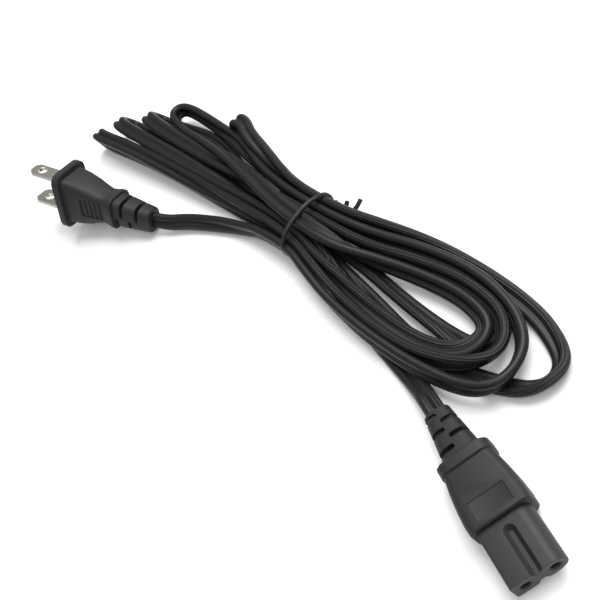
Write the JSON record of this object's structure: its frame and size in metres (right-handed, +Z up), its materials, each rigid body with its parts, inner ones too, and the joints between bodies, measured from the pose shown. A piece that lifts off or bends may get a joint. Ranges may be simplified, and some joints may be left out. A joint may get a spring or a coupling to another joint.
{
  "type": "figure eight power connector",
  "caption": "Figure eight mains connector with a slotted strain relief, on a flat twin cord gathered in a tied hank that ends in a polarised two-blade plug.",
  "frame": {"origin": "under the middle of the connector, on the surface it lies on", "axes": "+Y from the connector's nose back towards its cord, +X across the two contacts towards the round one, +Z up"},
  "size_m": [0.1327, 0.2549, 0.0287],
  "materials": {
    "moulding": "satin black flexible moulding",
    "insert": "satin black hard plastic",
    "cord_jacket": "satin black flexible jacket",
    "contact_brass": "plated spring brass",
    "copper": "bare copper strands",
    "blade_nickel": "nickel plated, satin",
    "tie_wire": "coated wire"
  },
  "bodies": {
    "root": {"blade_narrow": "blade_nickel", "blade_wide": "blade_nickel", "connector_insert": "insert", "connector_leg_round": "cord_jacket", "connector_leg_square": "cord_jacket", "connector_overmould": "moulding", "connector_strands_round": "copper", "connector_strands_square": "copper", "contact_round": "contact_brass", "contact_square": "contact_brass", "cord_connector_run": "cord_jacket", "cord_hank": "cord_jacket", "cord_plug_run": "cord_jacket", "plug_bridge": "insert", "plug_leg_narrow": "cord_jacket", "plug_leg_wide": "cord_jacket", "plug_overmould": "moulding", "plug_strands_narrow": "copper", "plug_strands_wide": "copper", "twist_tie": "tie_wire"}
  },
  "joints": []
}
